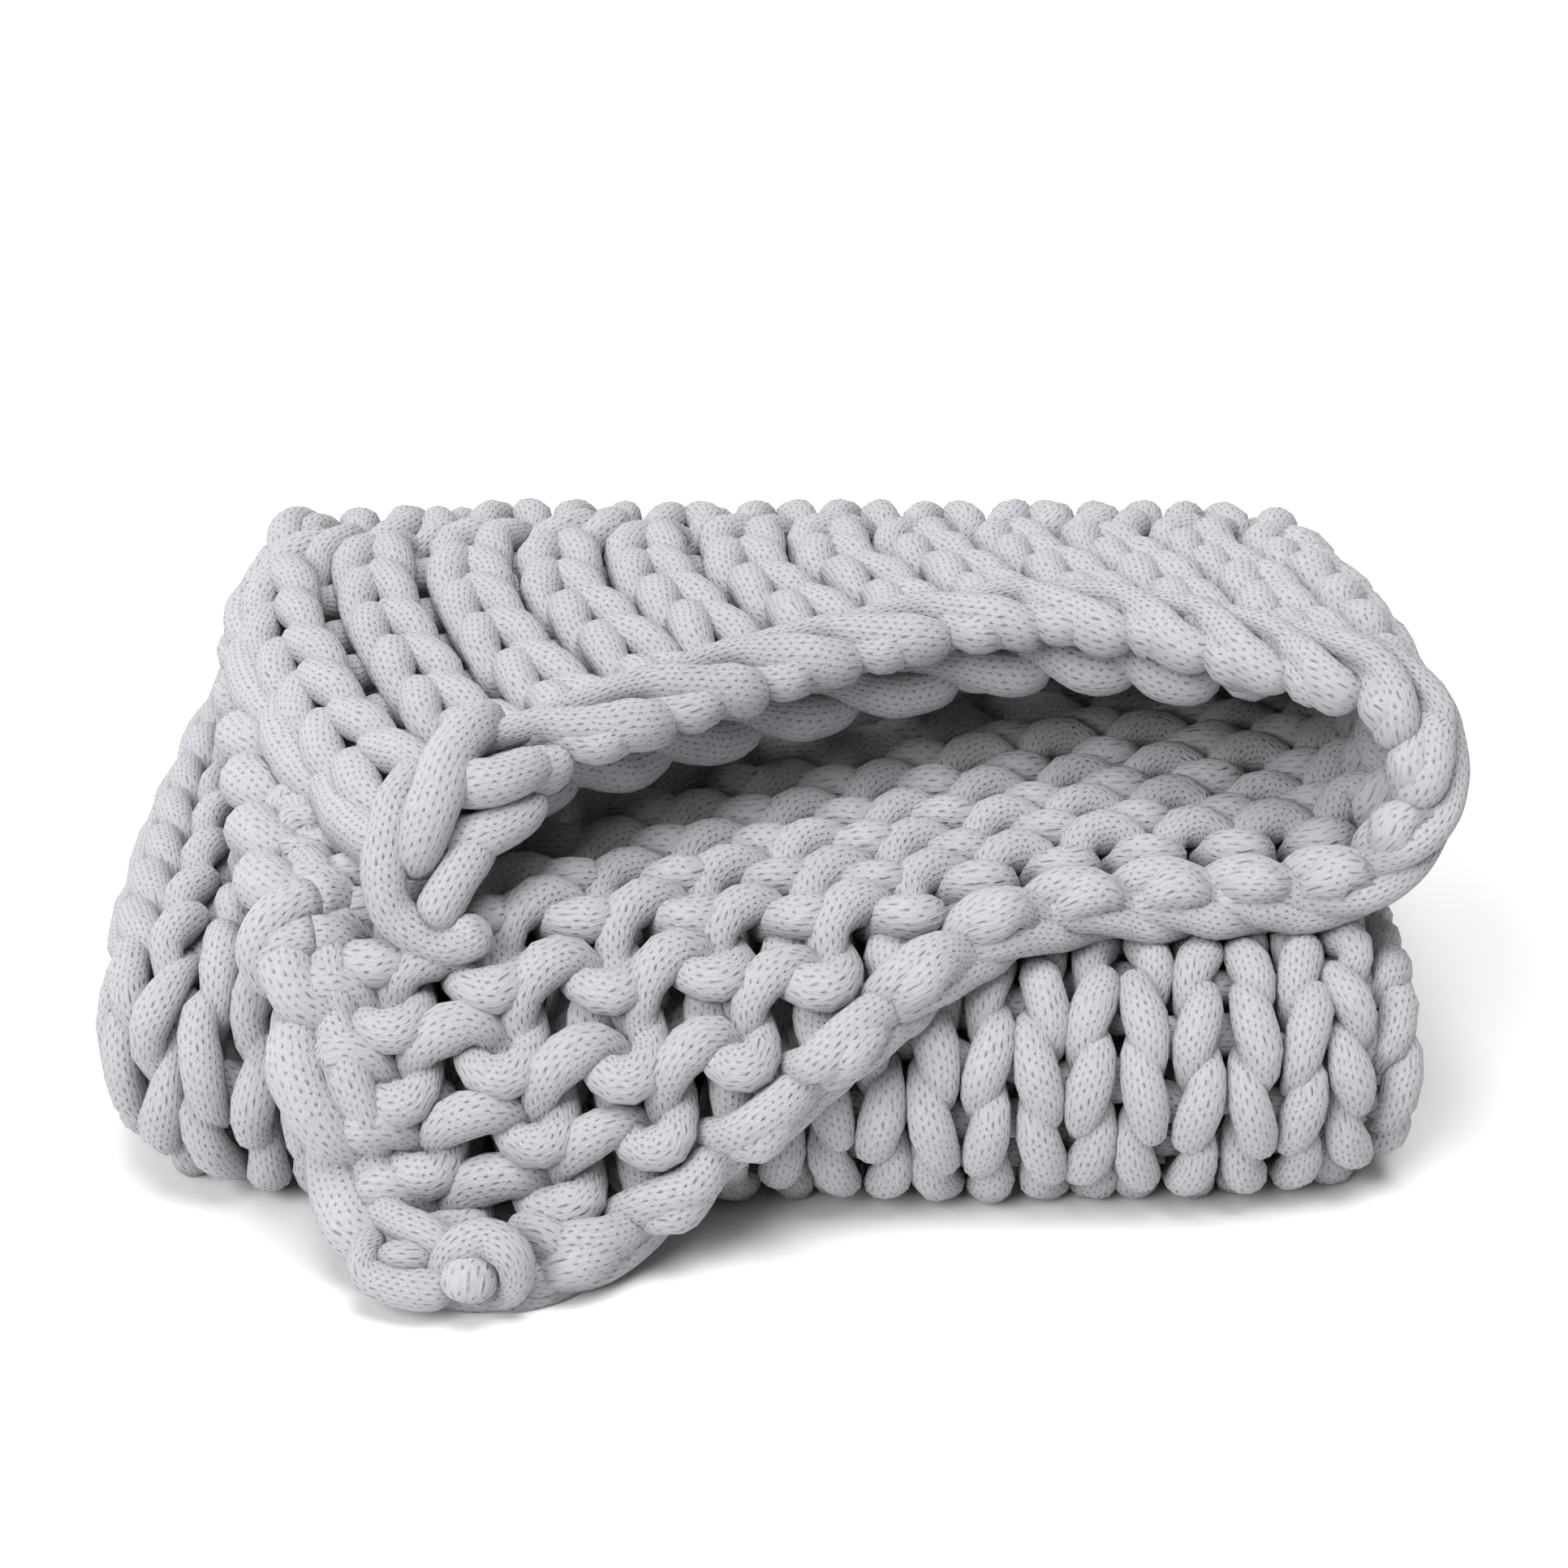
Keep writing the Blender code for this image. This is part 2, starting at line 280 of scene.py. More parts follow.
runs = [("bottom", 90), ("nose", 60), ("middle", 80), ("back", 70), ("top", 150)]
places = [(run, step / count) for run, count in runs for step in range(count)] + [("top", 1.0)]
first_top = places.index(("top", 0.0))
coarse = np.array([across(run, share) for run, share in places])
column_shares = np.linspace(0, 1, COLUMNS * FINE + 1)
even = []
for (run, share), line in zip(places, coarse):
    width = lengths_along(line)[-1]
    spread = SPREAD * share ** 4 * np.sin(2 * pi * column_shares) if run == "top" else 0
    even.append(at_lengths(line, SIDE_ROOM + (width - 2 * SIDE_ROOM) * (column_shares + spread)))
even = np.array(even)
top_rows = between_lines(TOP_ROWS, column_shares * (len(TOP_ROWS) - 1))[:, 0]
net = []
for i in range(len(column_shares)):
    column = even[:, i]
    along = lengths_along(column)
    rows = np.linspace(0, ROWS, ROWS * FINE + 1)
    lengths = row_lengths(rows, top_rows[i], along[first_top], along[-1])
    room = along[-1] - 2 * END_ROOM
    lengths = END_ROOM + (lengths - lengths[0]) / (lengths[-1] - lengths[0]) * room
    net.append(at_lengths(column, lengths))
net = np.array(net).transpose(1, 0, 2)


def run_on(net):
    """The net with straight margins added at its first and last rows."""
    steps = np.arange(1, MARGIN * FINE + 1)[:, None, None]
    before = net[:1] + (net[:1] - net[3:4]) / 3 * steps[::-1]
    after = net[-1:] + (net[-1:] - net[-4:-3]) / 3 * steps
    return np.concatenate((before, net, after))


net = run_on(run_on(net).transpose(1, 0, 2)).transpose(1, 0, 2)
row_step = np.gradient(net, axis=0)
column_step = np.gradient(net, axis=1)
outward = np.cross(column_step, row_step)
outward /= np.linalg.norm(outward, axis=2, keepdims=True)
row_height = np.linalg.norm(row_step, axis=2, keepdims=True) * FINE
slope = FINE ** 2 * np.sum(column_step * row_step, axis=2, keepdims=True) / row_height ** 2


def on_net(field, column, row):
    """Soft values of a field of the net at any columns and rows of stitches."""
    total = 0
    i, j = ((place + MARGIN) * FINE for place in (column, row))
    i0 = np.clip(np.floor(i).astype(int), 1, field.shape[1] - 3)
    j0 = np.clip(np.floor(j).astype(int), 1, field.shape[0] - 3)
    u, v = i - i0, j - j0

    def weights(x):
        return (x * (-0.5 + x * (1 - 0.5 * x)), 1 + x * x * (-2.5 + 1.5 * x),
                x * (0.5 + x * (2 - 1.5 * x)), x * x * (-0.5 + 0.5 * x))

    for dj, weight_row in enumerate(weights(v)):
        for di, weight_column in enumerate(weights(u)):
            weight = (weight_row * weight_column)[:, None]
            total = total + weight * field[j0 + dj - 1, i0 + di - 1]
    return total


YARN = 0.0088          # half the thickness of the yarn
NECK = 1.15            # how far the legs of a loop draw in
GATHER = 0.48          # how far the legs close up on the top of the pile
LOOSENING = 3          # rows round the back fold in which the yarn comes loose
LEAN = 0.2             # how far the two legs of a loop shift apart where the rows run aslant
EVEN = 0.15            # how far the legs of a loop even out there
MOST_ASLANT = 0.9
PINCH = 0.14           # how much thinner the yarn is where it passes under another
FULL = (0.90, 1.03)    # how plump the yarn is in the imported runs, and where it lies free
SWING = 0.0075         # how far the yarn swings through the cloth to each side
CRISP = 1.6            # how quickly it swings from one side to the other
HOLD = 0.66            # how far each loop reaches through the next, in yarn thicknesses
TURN_OUT = 0.20        # how far a turn at a side edge stands out, in columns
TURN_SWING = 1.2       # how far it comes forward, as a share of the swing
DENTS = 0.022          # depth of the soft dents, as a share of the yarn's radius
FLATNESS = 0.90        # how thick the yarn is through the cloth, as a share of its width
BRIM = 0.18            # how far the last row's heads reach past it, in rows
TURN_SWELL = 0.14      # how much plumper the yarn is where it rounds the right turn
TURN_REACH = 0.06      # half the width of that place, as a share of the blanket's width
UNEVEN_PLACE = 0.036   # how unevenly the hand-knitted stitches sit, in stitches
UNEVEN_SWING = 0.0007
UNEVEN_THICKNESS = 0.04
STEPS = 24             # rings of the yarn's mesh to a stitch
SIDES = 12             # facets round the yarn
ABOVE_FLOOR = 0.0002
chance = np.random.default_rng(11)


def uneven(count, size, places):
    """Soft, uneven values: a new one at each whole place, of about this size."""
    values = chance.normal(0, size, count + 2)
    i = np.clip(np.floor(places).astype(int), 0, count)
    return values[i] + (values[i + 1] - values[i]) * smooth_step(places - i)


def row_of_stitches(row):
    """Path of the yarn along one row: columns, rows, swing out, and thickness."""
    t = np.linspace(-pi, (2 * COLUMNS - 1) * pi, COLUMNS * STEPS + 1)
    stitch = (t + pi) / (2 * pi)
    past_fold = row + 0.5 - ROWS + np.interp(stitch / COLUMNS, column_shares, top_rows)
    loose = smooth_step(past_fold / LOOSENING + 0.5)
    gather = GATHER * loose
    column = stitch + (NECK * np.sin(2 * t) - gather * np.sin(t)) / (2 * pi)
    height = on_net(row_height, stitch, np.full_like(t, row + 0.5))[:, 0]
    reach = 0.5 + HOLD * 2 * YARN / height
    aslant = on_net(slope, stitch, np.full_like(t, row + 0.5))[:, 0]
    aslant = loose * aslant.clip(-MOST_ASLANT, MOST_ASLANT)
    rows = row + 0.5 + reach * np.cos(t) - aslant * (LEAN * np.sin(t) + EVEN * np.sin(2 * t))
    places = stitch * 2
    column = column + uneven(2 * COLUMNS, UNEVEN_PLACE, places)
    rows = np.minimum(rows + uneven(2 * COLUMNS, UNEVEN_PLACE, places), ROWS + BRIM)
    swing = -SWING * np.tanh(CRISP * np.cos(2 * t)) / np.tanh(CRISP)
    swing = swing + uneven(2 * COLUMNS, UNEVEN_SWING, places)
    at_turn = np.exp(-((stitch / COLUMNS - 0.5) / TURN_REACH) ** 2)
    full = FULL[0] + (FULL[1] - FULL[0] + TURN_SWELL * at_turn) * loose
    thickness = full + PINCH * np.cos(4 * t) + uneven(2 * COLUMNS, UNEVEN_THICKNESS, places)
    return np.column_stack((column, rows, swing, thickness))


def side_turn(row, side, way):
    """Path of the yarn where it turns up from one row to the next at a side edge.

    After the last row there is no next one, so the yarn stops half-way up.
    """
    points = 10 if row < ROWS - 1 else 6
    angle = np.linspace(0, pi, 12)[1:points + 1]
    column = np.full_like(angle, side * COLUMNS)
    heights = on_net(row_height, column, np.full_like(angle, row + 1.0))[:, 0]
    foot = row + 0.5 - (0.5 + HOLD * 2 * YARN / heights)
    rows = foot + (1 - np.cos(angle)) / 2
    column = column + way * TURN_OUT * np.sin(angle)
    swing = -SWING + TURN_SWING * SWING * np.sin(angle)
    return np.column_stack((column, rows, swing, np.ones_like(angle)))


def lay(path):
    """Places and up directions of a path given in columns, rows and swing."""
    column, row, swing, thickness = path.T
    up = on_net(outward, column, row)
    up /= np.linalg.norm(up, axis=1, keepdims=True)
    return on_net(net, column, row) + up * swing[:, None], up, thickness


def rings(points, up, thickness):
    """Rings of points round a yarn's path, with soft dents in it."""
    along = np.gradient(points, axis=0)
    along /= np.linalg.norm(along, axis=1, keepdims=True)
    side = np.cross(along, up)
    side /= np.linalg.norm(side, axis=1, keepdims=True)
    up = np.cross(side, along)
    angle = np.linspace(0, 2 * pi, SIDES, endpoint=False)
    place = lengths_along(points)[:, None]
    dents = 0
    for lobes, spacing in ((1, 0.031), (2, 0.047), (2, 0.023), (3, 0.036)):
        wander = np.cumsum(chance.normal(0, 0.12, len(points)))[:, None]
        dents = dents + np.cos(lobes * angle + 2 * pi * place / spacing + wander)
    radius = (YARN * thickness[:, None] * (1 + DENTS * dents))[:, :, None]
    ring = (side[:, None] * np.cos(angle)[None, :, None]
            + up[:, None] * np.sin(angle)[None, :, None] * FLATNESS)
    return points[:, None] + ring * radius


def yarn_piece(name, paths):
    """One mesh of yarn along these paths, closed at its ends, with a map of its skin."""
    corners, faces, skin = [], [], []
    start = 0
    for points, up, thickness in paths:
        tube = rings(points, up, thickness)
        count = len(points)
        ends = np.stack((points[0], points[-1]))
        corners.append(np.concatenate((tube.reshape(-1, 3), ends)))
        along = lengths_along(points)
        i = np.arange(count - 1)[:, None]
        j = np.arange(SIDES)[None]
        after = (j + 1) % SIDES
        quad = np.stack((i * SIDES + j, i * SIDES + after, (i + 1) * SIDES + after,
                         (i + 1) * SIDES + j), axis=2).reshape(-1, 4) + start
        faces.append(quad)
        along_start = np.broadcast_to(along[:-1, None], (count - 1, SIDES))
        along_end = np.broadcast_to(along[1:, None], (count - 1, SIDES))
        round_start = np.broadcast_to(j / SIDES, (count - 1, SIDES))
        round_end = round_start + 1 / SIDES
        skin.append(np.stack((along_start, round_start, along_start, round_end, along_end,
                              round_end, along_end, round_start), axis=2).reshape(-1, 2))
        first = start + count * SIDES
        for centre, ring, flip in ((first, 0, 1), (first + 1, count - 1, 0)):
            rim = start + ring * SIDES + np.arange(SIDES)
            pairs = (np.roll(rim, -1), rim) if flip else (rim, np.roll(rim, -1))
            faces.append(np.column_stack((*pairs, np.full(SIDES, centre), np.full(SIDES, -1))))
            skin.append(np.tile((along[ring], 0.0), (3 * SIDES, 1)))
        start = first + 2
    return mesh_piece(name, np.concatenate(corners), faces, np.concatenate(skin))


def mesh_piece(name, corners, faces, skin):
    """A mesh object from arrays of corners, faces and the skin's map.

    A face of three corners has -1 for its fourth. No corner goes below the floor.
    """
    corners[:, 2] = np.maximum(corners[:, 2], ABOVE_FLOOR)
    mesh = bpy.data.meshes.new(name)
    faces = np.concatenate(faces)
    sizes = np.where(faces[:, 3] < 0, 3, 4)
    loops = faces[faces >= 0]
    mesh.vertices.add(len(corners))
    mesh.vertices.foreach_set("co", corners.astype(np.float32).ravel())
    mesh.loops.add(len(loops))
    mesh.loops.foreach_set("vertex_index", loops.astype(np.int32))
    mesh.polygons.add(len(sizes))
    starts = np.concatenate(([0], np.cumsum(sizes)[:-1]))
    mesh.polygons.foreach_set("loop_start", starts.astype(np.int32))
    mesh.update(calc_edges=True)
    layer = mesh.uv_layers.new(name="skin")
    layer.uv.foreach_set("vector", skin.astype(np.float32).ravel())
    mesh.shade_smooth()
    piece = bpy.data.objects.new(name, mesh)
    bpy.context.scene.collection.objects.link(piece)
    return piece


class Wire:
    """A value in a material's nodes, so that a pattern is written as sums."""

    def __init__(self, socket):
        self.socket = socket

    @classmethod
    def node(cls, tree, kind, settings=None, sockets=None, output=0):
        made = tree.nodes.new("ShaderNode" + kind)
        for name, value in (settings or {}).items():
            setattr(made, name, value)
        for name, value in (sockets or {}).items():
            if isinstance(value, Wire):
                tree.links.new(value.socket, made.inputs[name])
            else:
                made.inputs[name].default_value = value
        return cls(made.outputs[output])

    def maths(self, operation, *others):
        sockets = dict(enumerate((self, *others)))
        return self.node(self.socket.id_data, "Math", {"operation": operation}, sockets)

    def __add__(self, other):
        return self.maths("ADD", other)

    def __sub__(self, other):
        return self.maths("SUBTRACT", other)

    def __rsub__(self, other):
        return (self * -1) + other

    def __mul__(self, other):
        return self.maths("MULTIPLY", other)

    def __truediv__(self, other):
        return self.maths("DIVIDE", other)

    __radd__ = __add__
    __rmul__ = __mul__


YARN_GREY = (0.415, 0.405, 0.432, 1.0)
DENT_COLUMNS = 22      # columns of small dents round the yarn
DENT_STEP = 0.0041     # from one dent to the next along it
DENT_SIZE = (0.24, 0.27)    # half a dent's width and length, in columns and steps
DENT_DRIFT = (1.1, 2.2)     # how far the dents stray, in columns and steps
FIBRES = (420, 13)     # how fine the fibres are along the yarn, and how dense round it


def yarn_finish():
    """Pale grey tube yarn: a fine knitted skin with staggered rows of small dents, with painted
    shade in them.
    """
    material = bpy.data.materials.new("pale grey tube yarn")
    material.use_nodes = True
    tree = material.node_tree
    shader = tree.nodes["Principled BSDF"]
    skin = Wire.node(tree, "UVMap", {"uv_map": "skin"})
    along = Wire.node(tree, "SeparateXYZ", sockets={0: skin}, output=0)
    around = Wire(along.socket.node.outputs[1])
    place = Wire.node(tree, "TexCoord", output=3)

    drift = Wire.node(tree, "TexNoise", sockets={"Vector": place, "Scale": 90.0, "Detail": 2.0})
    column = around * DENT_COLUMNS + (drift - 0.5) * DENT_DRIFT[0]
    number = column.maths("FLOOR")
    stagger = number.maths("MODULO", 2.0) * 0.5
    step = along / DENT_STEP + (drift - 0.5) * DENT_DRIFT[1] + stagger
    off_column = (column - number - 0.5) / DENT_SIZE[0]
    off_step = (step - step.maths("FLOOR") - 0.5) / DENT_SIZE[1]
    distance = (off_column * off_column + off_step * off_step).maths("SQRT")
    dent = (1 - distance).maths("MAXIMUM", 0.0)
    # rib is lowest along the middle of each column of dents, a shallow groove; it also darkens
    # the colour slightly there as painted shade
    rib = (column - number - 0.5).maths("ABSOLUTE") * 2

    turn_of = around * (2 * pi)
    strands = Wire.node(tree, "CombineXYZ", sockets={
        0: along * FIBRES[0], 1: turn_of.maths("COSINE") * FIBRES[1],
        2: turn_of.maths("SINE") * FIBRES[1]})
    fibres = Wire.node(tree, "TexNoise", sockets={"Vector": strands, "Scale": 1.0,
                                                  "Detail": 3.0, "Roughness": 0.65})
    fuzz = Wire.node(tree, "TexNoise", sockets={"Vector": place, "Scale": 700.0, "Detail": 3.0,
                                                "Roughness": 0.7})
    wander = Wire.node(tree, "TexNoise", sockets={"Vector": place, "Scale": 14.0, "Detail": 2.0})
    depth = (fibres * 2.2 - 0.65).maths("MAXIMUM", 0.0).maths("MINIMUM", 0.62)
    # The colour is darker in the dents and, slightly, along the grooves through them: painted
    # shade in these hollows, on top of the yarn's uneven tone
    tone_and_painted_shade = (0.92 + wander * 0.12 + (fibres - 0.5) * 0.78 + (fuzz - 0.5) * 0.30
             + (rib - 0.5) * 0.05) * (1 - dent * depth)
    colour = Wire.node(tree, "Mix", {"data_type": "RGBA", "blend_type": "MIX"},
                       {0: tone_and_painted_shade, 6: (0.0, 0.0, 0.0, 1.0), 7: YARN_GREY}, output=2)
    tree.links.new(colour.socket, shader.inputs["Base Color"])
    height = fibres * 0.7 + fuzz * 0.4 + rib * 0.12 - dent * depth * 1.5
    bump = Wire.node(tree, "Bump", sockets={"Strength": 1.0, "Distance": 0.0011,
                                            "Height": height})
    tree.links.new(bump.socket, shader.inputs["Normal"])
    shader.inputs["Roughness"].default_value = 0.95
    shader.inputs["Specular IOR Level"].default_value = 0.12
    shader.inputs["Sheen Weight"].default_value = 0.25
    shader.inputs["Sheen Roughness"].default_value = 0.6
    return material


yarn = yarn_finish()


def finish_piece(piece):
    piece.data.materials.append(yarn)
    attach(piece, "root")
    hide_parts("blanket")
    return piece


for first, last in ((0, 13), (13, 26), (26, 38)):
    parts = []
    for row in range(first, last):
        way = 1 if row % 2 == 0 else -1
        parts.append(row_of_stitches(row)[::way])
        parts.append(side_turn(row, 1 if way == 1 else 0, way))
    piece = yarn_piece("rows_%d_to_%d" % (first + 1, last), [lay(np.concatenate(parts))])
    finish_piece(piece)

# ---------------------------------------------------------------------------------------
# Bound-off and cast-on edges, and side edges
# Each is a chain of the same yarn: every link comes up through the one before it, and its
# tip goes behind the next. The side edges have a link to every two rows.
# ---------------------------------------------------------------------------------------

# One link: along counts in links, aside in half widths and face in link depths, and lead
# is the share of the chain's lead
LINK = np.array([
    # along aside  face  lead  thickness
    (0.00, -0.3, -1.1, 0.0, 0.74),
    (0.28, -0.9, -0.4, 0.5, 0.94),
    (0.74, -1.1, 0.5, 1.0, 1.16),
    (1.18, -0.9, 0.4, 0.8, 1.06),
    (1.42, 0.0, -1.1, 0.0, 0.74),
    (1.14, 0.9, 0.2, -0.8, 0.94),
    (0.72, 1.1, 0.3, -1.0, 1.06),
    (0.30, 0.9, -0.5, -0.5, 0.88),
    (0.06, 0.3, -1.1, 0.0, 0.74),
    (0.50, 0.0, -1.8, 0.0, 0.74),
])
LINK_DEPTH = 0.007
LINK_MIDDLE = 0.7      # how far along a link its middle lies
LINK_TIP = 0.4         # how far the last link's tip reaches past the others
NEARER = 0.06          # how much plumper the strand that stands in front is
LINK_SIZES = 0.07      # how unevenly the links are drawn tight
LINK_PLACES = (0.03, 0.0006, 0.0005)    # how unevenly the yarn lies in them
LINK_THICKNESS = 0.03


def through(knots, steps):
    """Points on a soft curve through these knots, with this many steps between them."""
    before = np.vstack((knots[:1], knots[:-2]))
    after = np.vstack((knots[2:], knots[-1:]))
    share = np.arange(steps)[:, None, None] / steps
    start, end = knots[:-1], knots[1:]
    curve = hermite(start, end, (end - before) / 2, (after - start) / 2, share)
    return np.vstack((curve.transpose(1, 0, 2).reshape(-1, knots.shape[1]), knots[-1:]))


def chain(name, ends, out, links, half_width, facing, lead, slant, girth=1.0, stand=0.0):
    """A chain between two places on the net, given as (column, row).

    out is the way off the cloth in columns and rows, facing the angle from the knit side
    round to the way out, lead how far one strand of a link stands before the other, and
    slant how far a link leans across the chain. The last two are given for both ends.
    stand is how far the chain stands in front of the cloth's middle.
    """
    steps = 5
    change_start, change_span = 0.42, 0.16    # where one end's values go over to the other's
    knots = []
    for link in range(links):
        linked = LINK.copy()
        share = smooth_step((link / (links - 1) - change_start) / change_span)
        led = lead[0] + (lead[1] - lead[0]) * share
        lean = slant[0] + (slant[1] - slant[0]) * share
        size = 1 + chance.normal(0, LINK_SIZES)
        linked[:, 1] = LINK[:, 1] * half_width * size + lean * (LINK[:, 0] - LINK_MIDDLE)
        linked[:, 2] = LINK[:, 2] * LINK_DEPTH + LINK[:, 3] * led + stand
        linked[:, 4] *= 1 + NEARER * np.sign(led) * LINK[:, 3]
        linked[:, :3] += chance.normal(0, 1, (len(LINK), 3)) * LINK_PLACES
        linked[:, 0] += link
        knots.append(linked)
    path = through(np.vstack(knots), steps)
    share = np.clip(path[:, 0] / (links + LINK_TIP), 0, 1)[:, None]
    column, row = (ends[0] + (np.array(ends[1]) - ends[0]) * share).T
    middle = on_net(net, column, row)
    up = on_net(outward, column, row)
    up /= np.linalg.norm(up, axis=1, keepdims=True)
    off = on_net(column_step, column, row) * out[0] + on_net(row_step, column, row) * out[1]
    off -= up * np.sum(off * up, axis=1, keepdims=True)
    off /= np.linalg.norm(off, axis=1, keepdims=True)
    face = up * np.cos(facing) + off * np.sin(facing)
    aside = off * np.cos(facing) - up * np.sin(facing)
    points = middle + aside * path[:, 1:2] + face * path[:, 2:3]
    per_link = 3
    varied = uneven(links * per_link, LINK_THICKNESS, path[:, 0].clip(0) * per_link)
    thickness = girth * (path[:, 4] + varied)
    return finish_piece(yarn_piece(name, [(points, face, thickness)]))


LIP = ROWS + 0.08      # middle of the bound-off chain, in rows
SIDE = 0.10            # how far the side chains lie outside the outer columns, in columns
FOOT = -0.30           # middle of the cast-on edge, in rows
chain("bound_off_edge", [(COLUMNS, LIP), (0, LIP)], (0, 1), COLUMNS,
                     half_width=0.0042, facing=2.7, lead=(0.0042, -0.0046),
                     slant=(0.012, 0.009))
chain("row_inside_lip", [(COLUMNS - 0.6, LIP - 0.8), (COLUMNS - 9, LIP - 0.8)],
                     (0, 1), 8, half_width=0.0016, facing=2.9, lead=(0.0, 0.0),
                     slant=(0.009, 0.009), girth=1.12, stand=0.008)
chain("cast_on_edge", [(0, FOOT), (COLUMNS, FOOT)], (0, -1), COLUMNS,
                     half_width=0.0055, facing=0.4, lead=(0.003, 0.003), slant=(0.004, 0.004))
chain("lower_side_edge", [(-SIDE, 0), (-SIDE, ROWS)], (-1, 0), ROWS // 2,
                     half_width=0.0075, facing=2.6, lead=(0.003, 0.003), slant=(0.009, 0.009),
                     girth=1.14, stand=0.003)
chain("upper_side_edge", [(COLUMNS + SIDE, 0), (COLUMNS + SIDE, ROWS)], (1, 0),
                     ROWS // 2, half_width=0.0085, facing=0.7, lead=(0.001, 0.001),
                     slant=(0.003, 0.003), girth=1.08)


# ---------------------------------------------------------------------------------------
# Knots and yarn ends
# The yarn is joined by a knot on the lower side edge and ends in a small ball knot at the
# lower corner. At the upper corner its other end hangs down in a short loop, cut square.
# ---------------------------------------------------------------------------------------

def strand(knots):
    """Path of a free length of yarn through these places, each with its thickness."""
    path = through(np.array(knots, float), steps=8)
    up = np.tile((0.0, -0.94, 0.34), (len(path), 1))
    along = lengths_along(path[:, :3])
    rounding, closing = 0.8 * YARN, 0.85    # length in which an end rounds off, and how far
    from_end = np.clip(np.minimum(along, along[-1] - along) / rounding, 0, 1)
    return path[:, :3], up, path[:, 3] * np.sqrt(1 - closing * (1 - from_end) ** 2)


def wound(middle, axis, radii, thickness):
    """One closed turn of yarn round an axis, starting near its top."""
    axis = np.array(axis, float) / np.linalg.norm(axis)
    first = np.array((0, 0.2, 1.0))
    first -= axis * np.dot(first, axis)
    first /= np.linalg.norm(first)
    second = np.cross(axis, first)
    steps = 28
    angle = np.linspace(0, 2 * pi, steps + 1)[:, None]
    out = first * np.cos(angle) * radii[0] + second * np.sin(angle) * radii[1]
    up = out / np.linalg.norm(out, axis=1, keepdims=True)
    return middle + out, up, np.full(len(out), thickness)


BALL_KNOT = [
    # the arch, the yarn's end under it, the turns at its left, and the one at its right
    [(-0.130, -0.252, 0.010, 0.70), (-0.130, -0.251, 0.020, 0.78), (-0.124, -0.252, 0.030, 0.88),
     (-0.113, -0.252, 0.034, 0.94), (-0.104, -0.257, 0.030, 0.90), (-0.102, -0.256, 0.019, 0.80),
     (-0.106, -0.252, 0.010, 0.75), (-0.114, -0.250, 0.009, 0.70)],
    [(-0.119, -0.232, 0.018, 1.00), (-0.119, -0.250, 0.021, 1.20), (-0.120, -0.259, 0.018, 1.26),
     (-0.121, -0.262, 0.012, 1.20)],
    [(-0.166, -0.212, 0.026, 0.70), (-0.156, -0.227, 0.031, 0.80), (-0.143, -0.241, 0.033, 0.84),
     (-0.132, -0.247, 0.030, 0.78), (-0.125, -0.245, 0.022, 0.60)],
    [(-0.155, -0.236, 0.026, 0.60), (-0.161, -0.244, 0.024, 0.70), (-0.160, -0.251, 0.018, 0.78),
     (-0.149, -0.255, 0.015, 0.90), (-0.137, -0.257, 0.014, 0.94), (-0.127, -0.253, 0.012, 0.80)],
    [(-0.155, -0.246, 0.023, 0.60), (-0.144, -0.250, 0.025, 0.70), (-0.134, -0.246, 0.022, 0.65)],
    [(-0.105, -0.223, 0.022, 0.80), (-0.094, -0.236, 0.026, 0.94), (-0.086, -0.238, 0.020, 0.96),
     (-0.091, -0.241, 0.012, 0.90), (-0.102, -0.246, 0.010, 0.75)],
]
finish_piece(yarn_piece("ball_knot", [strand(knots) for knots in BALL_KNOT]))

KNOT_ROW = 32.6        # where the side knot sits on the lower side edge
knot, row_after = on_net(net, np.array([-SIDE] * 2), np.array([KNOT_ROW, KNOT_ROW + 1]))
rope = row_after - knot
finish_piece(yarn_piece("side_knot", [
    wound(knot, rope + (0.012, 0, 0.010), (0.0175, 0.0205), 1.16),
    wound(knot + 0.35 * rope, rope, (0.0150, 0.0175), 1.0)]))

# Places and thickness along the yarn at the upper corner
STRAP = [
    (-0.114, -0.118, 0.192, 0.90), (-0.121, -0.134, 0.196, 1.12), (-0.130, -0.155, 0.190, 1.22),
    (-0.136, -0.170, 0.175, 1.22), (-0.142, -0.172, 0.158, 1.05), (-0.144, -0.158, 0.147, 0.85),
]
HANGING_LOOP = [
    (-0.142, -0.140, 0.182, 0.85), (-0.150, -0.156, 0.176, 0.95), (-0.153, -0.169, 0.165, 1.00),
    (-0.155, -0.177, 0.152, 1.02), (-0.151, -0.181, 0.137, 1.02), (-0.139, -0.182, 0.127, 1.02),
    (-0.126, -0.183, 0.126, 1.05), (-0.115, -0.185, 0.133, 1.10),
]
CUT_TAIL = [
    (-0.116, -0.150, 0.164, 0.90), (-0.121, -0.166, 0.157, 1.05), (-0.129, -0.178, 0.146, 1.05),
    (-0.137, -0.184, 0.134, 1.00),
]
FIRST_LINKS = [
    [(-0.140, -0.146, 0.172, 0.9), (-0.128, -0.156, 0.180, 1.1), (-0.113, -0.158, 0.183, 1.15),
     (-0.100, -0.150, 0.184, 0.95), (-0.093, -0.136, 0.182, 0.7)],
    [(-0.142, -0.152, 0.155, 0.9), (-0.130, -0.162, 0.159, 1.05), (-0.116, -0.163, 0.163, 1.1),
     (-0.103, -0.155, 0.167, 0.95), (-0.096, -0.143, 0.170, 0.7)],
]
finish_piece(yarn_piece("yarn_end", [
    strand(knots) for knots in (STRAP, HANGING_LOOP, CUT_TAIL, *FIRST_LINKS)]))


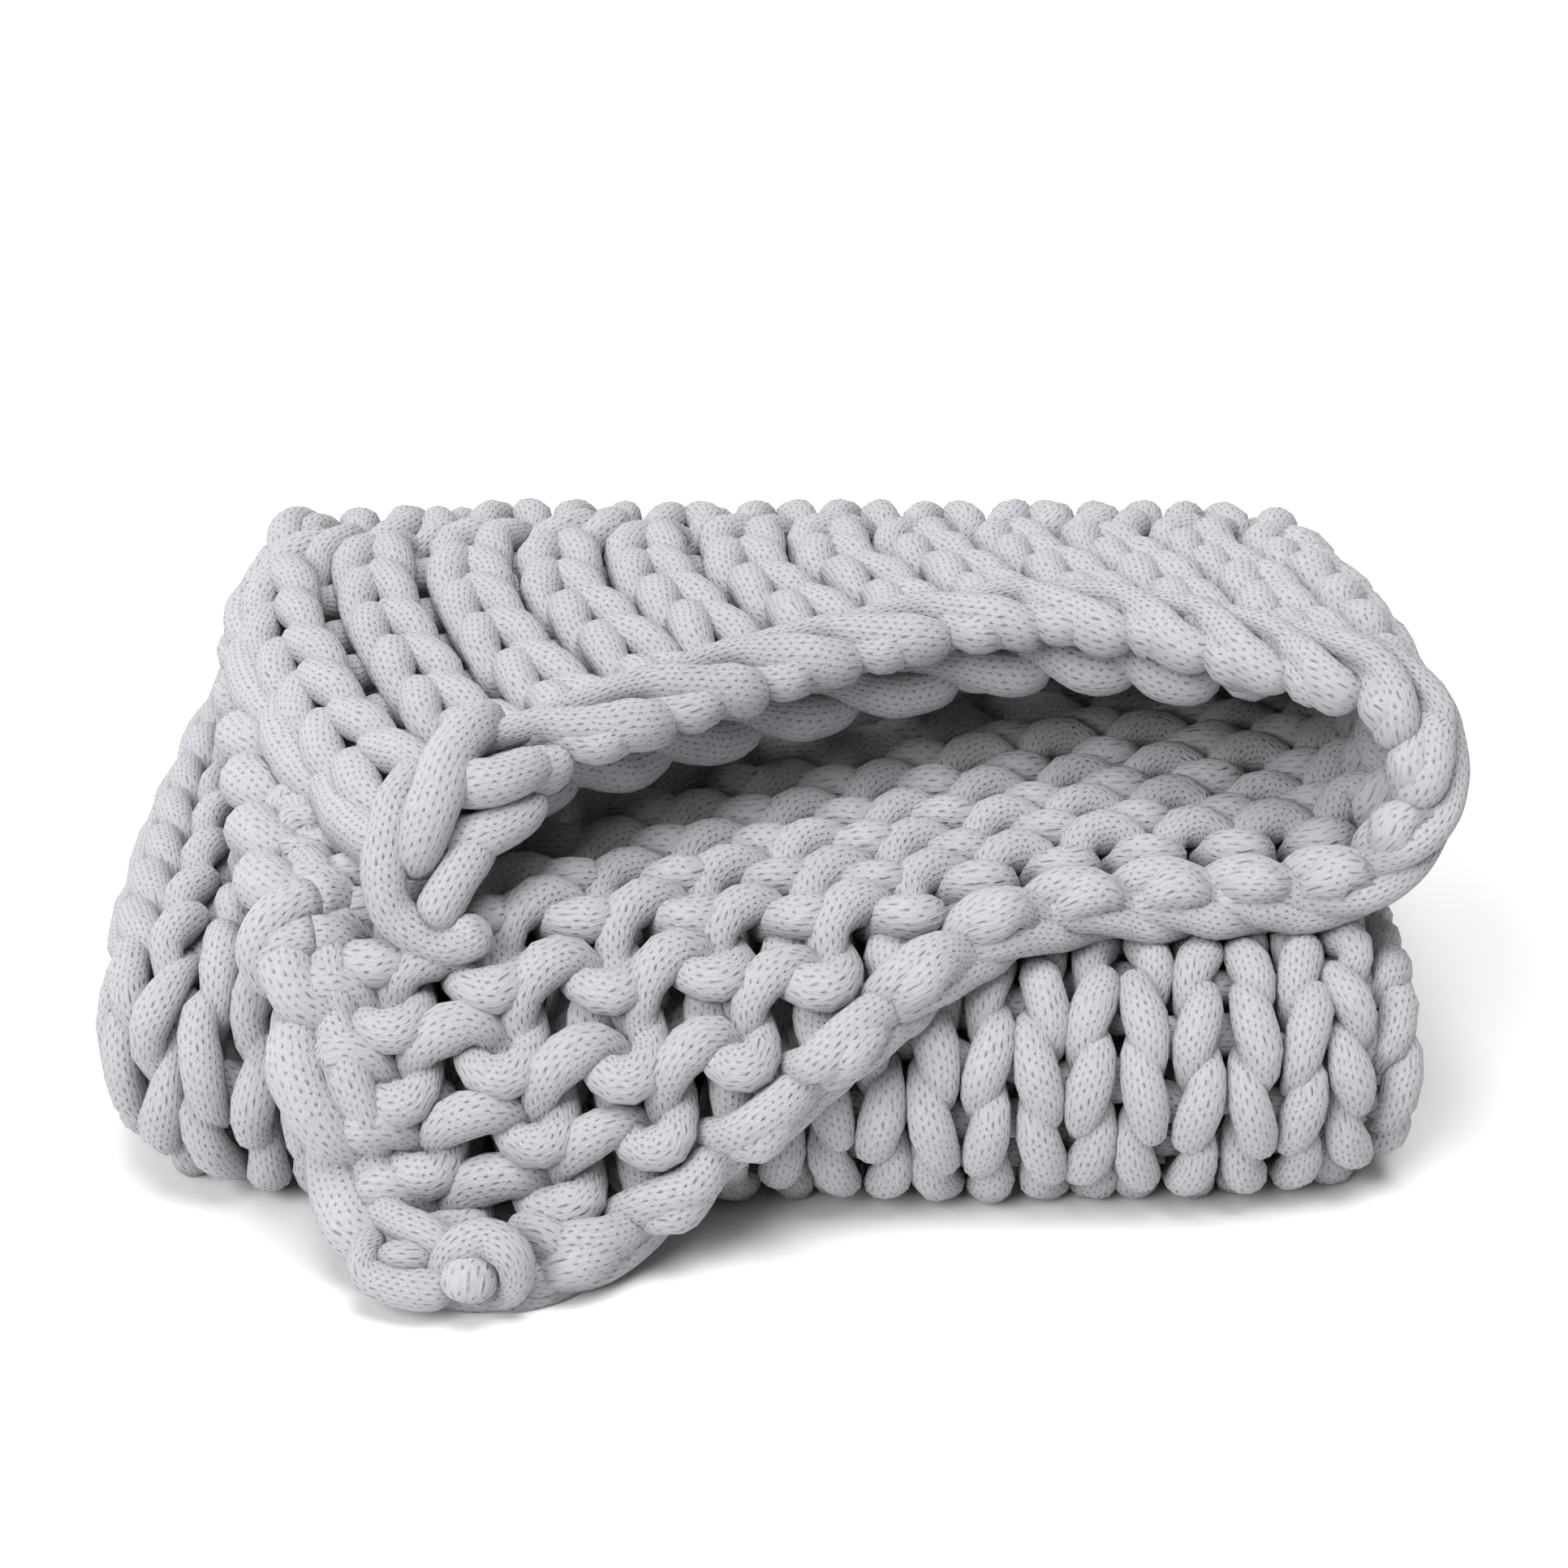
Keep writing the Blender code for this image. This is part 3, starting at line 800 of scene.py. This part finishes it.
# ---------------------------------------------------------------------------------------
# Floor, light and camera
# A plain white floor under soft studio light, seen from the front and a little above.
# ---------------------------------------------------------------------------------------

def floor():
    mesh = bpy.data.meshes.new("floor")
    size = 40.0            # wide enough to lie behind the blanket in a low view
    mesh.from_pydata([(-size, -size, 0), (size, -size, 0), (size, size, 0), (-size, size, 0)], [],
                     [(0, 1, 2, 3)])
    ground = bpy.data.objects.new("floor", mesh)
    material = bpy.data.materials.new("white studio floor")
    material.use_nodes = True
    shader = material.node_tree.nodes["Principled BSDF"]
    shader.inputs["Base Color"].default_value = (0.84, 0.84, 0.845, 1)
    shader.inputs["Roughness"].default_value = 0.9
    mesh.materials.append(material)
    bpy.context.scene.collection.objects.link(ground)


def sun(name, way, angle, strength):
    light = bpy.data.lights.new(name, "SUN")
    light.angle = angle * pi / 180
    light.energy = strength
    holder = bpy.data.objects.new(name, light)
    holder.rotation_euler = Vector(way).to_track_quat("-Z", "Y").to_euler()
    bpy.context.scene.collection.objects.link(holder)


def studio():
    world = bpy.data.worlds.new("studio")
    world.use_nodes = True
    backdrop = world.node_tree.nodes["Background"]
    backdrop.inputs["Color"].default_value = (1, 1, 1, 1)
    backdrop.inputs["Strength"].default_value = 0.10
    bpy.context.scene.world = world
    sun("front light", (0.8, 1.0, -0.85), 38, 3.0)
    sun("top light", (-0.1, 0.2, -1.0), 40, 2.8)
    sun("back light", (0.6, -1.0, -0.9), 40, 1.0)
    bpy.context.scene.view_settings.view_transform = "Standard"


def camera():
    """A long lens in front of the blanket and a little above it."""
    target = Vector((0.0, -0.1932, 0.1967))
    distance = 1.447
    elevation = 23 * pi / 180
    lens = bpy.data.cameras.new("camera")
    lens.sensor_width = 36
    lens.lens = 87.88
    lens.clip_start = 0.05
    viewer = bpy.data.objects.new("camera", lens)
    offset = Vector((0, -np.cos(elevation), np.sin(elevation))) * distance
    viewer.location = target + offset
    viewer.rotation_euler = (-offset).to_track_quat("-Z", "Y").to_euler()
    bpy.context.scene.collection.objects.link(viewer)
    bpy.context.scene.camera = viewer


floor()
studio()
camera()
